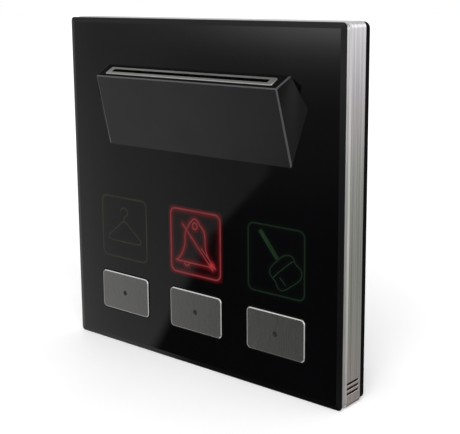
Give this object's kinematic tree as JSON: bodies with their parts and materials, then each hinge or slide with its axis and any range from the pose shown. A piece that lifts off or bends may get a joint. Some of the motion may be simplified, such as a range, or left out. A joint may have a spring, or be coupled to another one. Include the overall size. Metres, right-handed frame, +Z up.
{
  "type": "key card switch",
  "caption": "Square wall panel of black glass with a steel edge, a slanted card slot and a row of push buttons under lit symbols, wired from a housing behind.",
  "frame": {"origin": "wall plane, midway between the two fixing holes, which is also the middle of the panel", "axes": "+X to the right seen from the front, +Y into the wall, +Z up"},
  "size_m": [0.096, 0.0378, 0.096],
  "materials": {
    "black_glass": "polished, printed black behind",
    "steel": "brushed",
    "dark_steel": "fine brushed, dark",
    "dark_coat": "satin black",
    "spring_steel": "plain",
    "zinc": "zinc plated",
    "brass": "plain",
    "black_plastic": "fine moulded",
    "white_plastic": "moulded",
    "terminal_plastic": "moulded green",
    "board": "solder mask",
    "relay_case": "moulded blue",
    "can": "drawn",
    "diffuser": "opal",
    "lamp": "clear"
  },
  "bodies": {
    "panel": {"back_plate": "black_plastic", "board_header": "black_plastic", "board_screws": "zinc", "capacitor": "can", "card_holder": "dark_coat", "card_pocket": "black_plastic", "card_springs": "spring_steel", "controller_chip": "black_plastic", "diffuser_left": "diffuser", "diffuser_middle": "diffuser", "diffuser_right": "diffuser", "front_plate": "steel", "front_rim": "steel", "glass_front": "black_glass", "housing_screws": "zinc", "key_guide": "black_plastic", "led_left": "lamp", "led_middle": "lamp", "led_right": "lamp", "lever_pin": "spring_steel", "light_box": "white_plastic", "main_board": "board", "panel_clips": "spring_steel", "plate_studs": "zinc", "pocket_cover": "black_plastic", "power_board": "board", "power_socket": "black_plastic", "power_supply": "black_plastic", "rear_housing": "black_plastic", "relay": "relay_case", "room_sensor": "black_plastic", "side_band": "steel", "slot_ring": "steel", "stud_nuts": "zinc", "switch_body": "black_plastic", "switch_pins": "spring_steel", "tact_body_left": "black_plastic", "tact_body_middle": "black_plastic", "tact_body_right": "black_plastic", "terminal_block": "terminal_plastic", "terminal_pins": "brass", "terminal_screws": "zinc"},
    "button_left": {"button_cap_left": "dark_steel", "button_carrier_left": "black_plastic", "tact_stem_left": "black_plastic"},
    "button_middle": {"button_cap_middle": "dark_steel", "button_carrier_middle": "black_plastic", "tact_stem_middle": "black_plastic"},
    "button_right": {"button_cap_right": "dark_steel", "button_carrier_right": "black_plastic", "tact_stem_right": "black_plastic"},
    "lever": {"card_lever": "white_plastic"},
    "plunger": {"switch_plunger": "white_plastic"}
  },
  "joints": [
    {"name": "press_left", "type": "slide", "parent": "panel", "child": "button_left", "axis": [0, 1, 0], "range_m": [0, 0.0005], "stiffness_N_per_m": 1600, "springref_m": -0.0003},
    {"name": "press_middle", "type": "slide", "parent": "panel", "child": "button_middle", "axis": [0, 1, 0], "range_m": [0, 0.0005], "stiffness_N_per_m": 1600, "springref_m": -0.0003},
    {"name": "press_right", "type": "slide", "parent": "panel", "child": "button_right", "axis": [0, 1, 0], "range_m": [0, 0.0005], "stiffness_N_per_m": 1600, "springref_m": -0.0003},
    {"name": "lever_swing", "type": "hinge", "parent": "panel", "child": "lever", "pos_m": [0.0216, -0.0023, 0.01934], "axis": [1, 0, 0], "range_deg": [0, 9], "stiffness_Nm_per_rad": 0.008, "springref_deg": -5.73},
    {"name": "plunger_slide", "type": "slide", "parent": "panel", "child": "plunger", "axis": [0, 0.8856, 0.4644], "range_m": [0, 0.00065]}
  ],
  "couplings": [
    {"joint": "plunger_slide", "follows": "lever_swing", "m_per_rad": 0.004}
  ]
}
